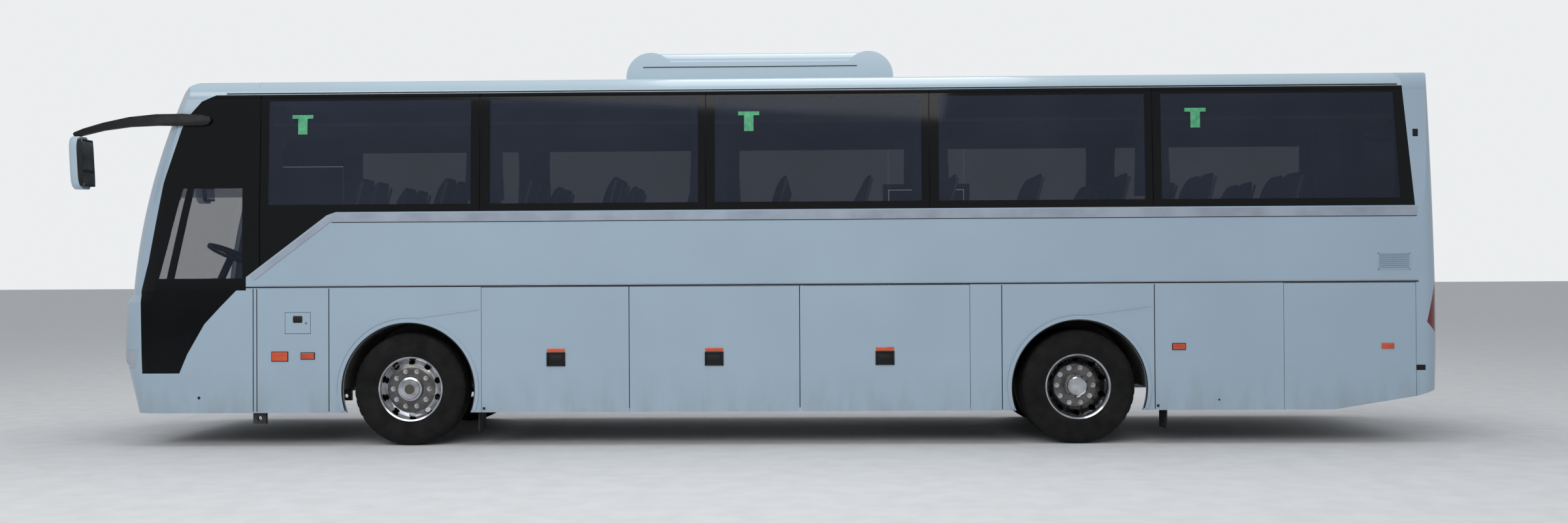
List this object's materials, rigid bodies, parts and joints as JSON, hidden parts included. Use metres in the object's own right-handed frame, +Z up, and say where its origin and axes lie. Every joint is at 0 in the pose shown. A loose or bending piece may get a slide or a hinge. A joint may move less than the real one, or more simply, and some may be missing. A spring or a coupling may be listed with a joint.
{
  "type": "coach bus",
  "caption": "High floor touring coach with bonded side glass, lifting luggage flaps, swing out doors and steered front wheels",
  "frame": {"origin": "on the ground under the middle of the whole coach, mirrors included", "axes": "+Z up, the coach faces -X, the driver's side is at -Y, the passenger doors are at +Y"},
  "size_m": [12.5698, 2.83, 3.662],
  "materials": {
    "body_paint": "pale blue white gloss paint",
    "dark_trim": "black gloss panels behind and between the glass",
    "tinted_glass": "dark tinted bonded glass",
    "clear_glass": "clear laminated glass",
    "lamp_lens": "clear lamp cover",
    "red_lens": "dark red lamp cover",
    "chassis_steel": "black chassis paint with road dirt",
    "cast_metal": "dark cast iron",
    "polished_rim": "polished metal wheel",
    "tyre_rubber": "worn black tyre",
    "dark_plastic": "grained dark plastic",
    "rubber_flap": "black rubber sheet",
    "inner_lining": "grey lining",
    "floor_covering": "grey floor covering",
    "seat_fabric": "dark blue woven cover"
  },
  "bodies": {
    "coach": {"cab_floor": "floor_covering", "cab_side_panel": "dark_trim", "chassis_frame": "chassis_steel", "floor_portals": "chassis_steel", "dashboard": "dark_plastic", "driver_seat": "seat_fabric", "engine_block": "cast_metal", "floor": "floor_covering", "front_axle": "chassis_steel", "front_bumper": "body_paint", "front_mask": "body_paint", "headlamps": "lamp_lens", "lower_sides": "body_paint", "luggage_hold": "inner_lining", "luggage_racks": "inner_lining", "mirrors": "dark_plastic", "mud_flaps": "rubber_flap", "rear_axle": "chassis_steel", "rear_bumper": "body_paint", "rear_wall": "body_paint", "rear_window": "tinted_glass", "roof": "body_paint", "seats": "seat_fabric", "side_glass": "tinted_glass", "tail_lamps": "red_lens", "waist_panels": "body_paint", "window_walls": "dark_trim", "windscreen": "clear_glass", "air_conditioner": "body_paint"},
    "knuckle_left": {"knuckle_left": "cast_metal"},
    "wheel_front_left": {"rim_front_left": "polished_rim", "tyre_front_left": "tyre_rubber"},
    "wheel_rear_left": {"rim_rear_left": "polished_rim", "tyre_rear_left": "tyre_rubber"},
    "knuckle_right": {"knuckle_right": "cast_metal"},
    "wheel_front_right": {"rim_front_right": "polished_rim", "tyre_front_right": "tyre_rubber"},
    "wheel_rear_right": {"rim_rear_right": "polished_rim", "tyre_rear_right": "tyre_rubber"},
    "door_front_arm": {"door_front_arm": "chassis_steel"},
    "door_front": {"door_front": "body_paint"},
    "door_middle_arm": {"door_middle_arm": "chassis_steel"},
    "door_middle": {"door_middle": "body_paint"},
    "flap_left_front": {"flap_left_front": "body_paint"},
    "flap_left_middle": {"flap_left_middle": "body_paint"},
    "flap_left_rear": {"flap_left_rear": "body_paint"},
    "flap_right_front": {"flap_right_front": "body_paint"},
    "flap_right_middle": {"flap_right_middle": "body_paint"},
    "flap_right_rear": {"flap_right_rear": "body_paint"},
    "service_flap_left": {"service_flap_left": "body_paint"},
    "service_flap_right": {"service_flap_right": "body_paint"},
    "fuel_flap": {"fuel_flap": "body_paint"},
    "engine_lid": {"engine_lid": "body_paint"},
    "roof_hatch_front": {"roof_hatch_front": "body_paint"},
    "roof_hatch_rear": {"roof_hatch_rear": "body_paint"}
  },
  "joints": [
    {"name": "steer_left", "type": "hinge", "parent": "coach", "child": "knuckle_left", "pos_m": [-3.155, -0.93, 0.52], "axis": [0, 0, 1], "range_deg": [-45, 45]},
    {"name": "wheel_front_left_turn", "type": "hinge", "parent": "knuckle_left", "child": "wheel_front_left", "pos_m": [-3.155, -1.085, 0.52], "axis": [0, 1, 0], "continuous": true},
    {"name": "wheel_rear_left_turn", "type": "hinge", "parent": "coach", "child": "wheel_rear_left", "pos_m": [2.995, -1.085, 0.52], "axis": [0, 1, 0], "continuous": true},
    {"name": "steer_right", "type": "hinge", "parent": "coach", "child": "knuckle_right", "pos_m": [-3.155, 0.93, 0.52], "axis": [0, 0, 1], "range_deg": [-45, 45]},
    {"name": "wheel_front_right_turn", "type": "hinge", "parent": "knuckle_right", "child": "wheel_front_right", "pos_m": [-3.155, 1.085, 0.52], "axis": [0, 1, 0], "continuous": true},
    {"name": "wheel_rear_right_turn", "type": "hinge", "parent": "coach", "child": "wheel_rear_right", "pos_m": [2.995, 1.085, 0.52], "axis": [0, 1, 0], "continuous": true},
    {"name": "door_front_swing", "type": "hinge", "parent": "coach", "child": "door_front_arm", "pos_m": [-5.315, 1.11, 1], "axis": [0, 0, 1], "range_deg": [0, 90]},
    {"name": "door_front_level", "type": "hinge", "parent": "door_front_arm", "child": "door_front", "pos_m": [-4.755, 1.11, 1], "axis": [0, 0, 1], "range_deg": [-90, 0]},
    {"name": "door_middle_swing", "type": "hinge", "parent": "coach", "child": "door_middle_arm", "pos_m": [2.15, 1.11, 1], "axis": [0, 0, -1], "range_deg": [0, 90]},
    {"name": "door_middle_level", "type": "hinge", "parent": "door_middle_arm", "child": "door_middle", "pos_m": [1.59, 1.11, 1], "axis": [0, 0, -1], "range_deg": [-90, 0]},
    {"name": "flap_left_front_lift", "type": "hinge", "parent": "coach", "child": "flap_left_front", "pos_m": [-1.798, -1.275, 1.456], "axis": [-1, 0, 0], "range_deg": [0, 95]},
    {"name": "flap_left_middle_lift", "type": "hinge", "parent": "coach", "child": "flap_left_middle", "pos_m": [-0.333, -1.275, 1.456], "axis": [-1, 0, 0], "range_deg": [0, 95]},
    {"name": "flap_left_rear_lift", "type": "hinge", "parent": "coach", "child": "flap_left_rear", "pos_m": [1.2275, -1.275, 1.456], "axis": [-1, 0, 0], "range_deg": [0, 95]},
    {"name": "flap_right_front_lift", "type": "hinge", "parent": "coach", "child": "flap_right_front", "pos_m": [-1.798, 1.275, 1.456], "axis": [1, 0, 0], "range_deg": [0, 95]},
    {"name": "flap_right_middle_lift", "type": "hinge", "parent": "coach", "child": "flap_right_middle", "pos_m": [-0.333, 1.275, 1.456], "axis": [1, 0, 0], "range_deg": [0, 95]},
    {"name": "flap_right_rear_lift", "type": "hinge", "parent": "coach", "child": "flap_right_rear", "pos_m": [0.897, 1.275, 1.456], "axis": [1, 0, 0], "range_deg": [0, 95]},
    {"name": "service_flap_left_lift", "type": "hinge", "parent": "coach", "child": "service_flap_left", "pos_m": [5.4405, -1.275, 1.456], "axis": [-1, 0, 0], "range_deg": [0, 95]},
    {"name": "service_flap_right_lift", "type": "hinge", "parent": "coach", "child": "service_flap_right", "pos_m": [5.4405, 1.275, 1.456], "axis": [1, 0, 0], "range_deg": [0, 95]},
    {"name": "fuel_flap_turn", "type": "hinge", "parent": "coach", "child": "fuel_flap", "pos_m": [-4.296, -1.275, 1.137], "axis": [0, 0, -1], "range_deg": [0, 110]},
    {"name": "engine_lid_lift", "type": "hinge", "parent": "coach", "child": "engine_lid", "pos_m": [6.269, 0, 2.092], "axis": [0, -1, 0], "range_deg": [0, 75]},
    {"name": "roof_hatch_front_tilt", "type": "hinge", "parent": "coach", "child": "roof_hatch_front", "pos_m": [-3.093, 0, 3.47], "axis": [0, 1, 0], "range_deg": [0, 30]},
    {"name": "roof_hatch_rear_tilt", "type": "hinge", "parent": "coach", "child": "roof_hatch_rear", "pos_m": [4.477, 0, 3.47], "axis": [0, 1, 0], "range_deg": [0, 30]}
  ],
  "couplings": [
    {"joint": "steer_right", "follows": "steer_left", "ratio": 1},
    {"joint": "door_front_level", "follows": "door_front_swing", "ratio": -1},
    {"joint": "door_middle_level", "follows": "door_middle_swing", "ratio": -1}
  ]
}
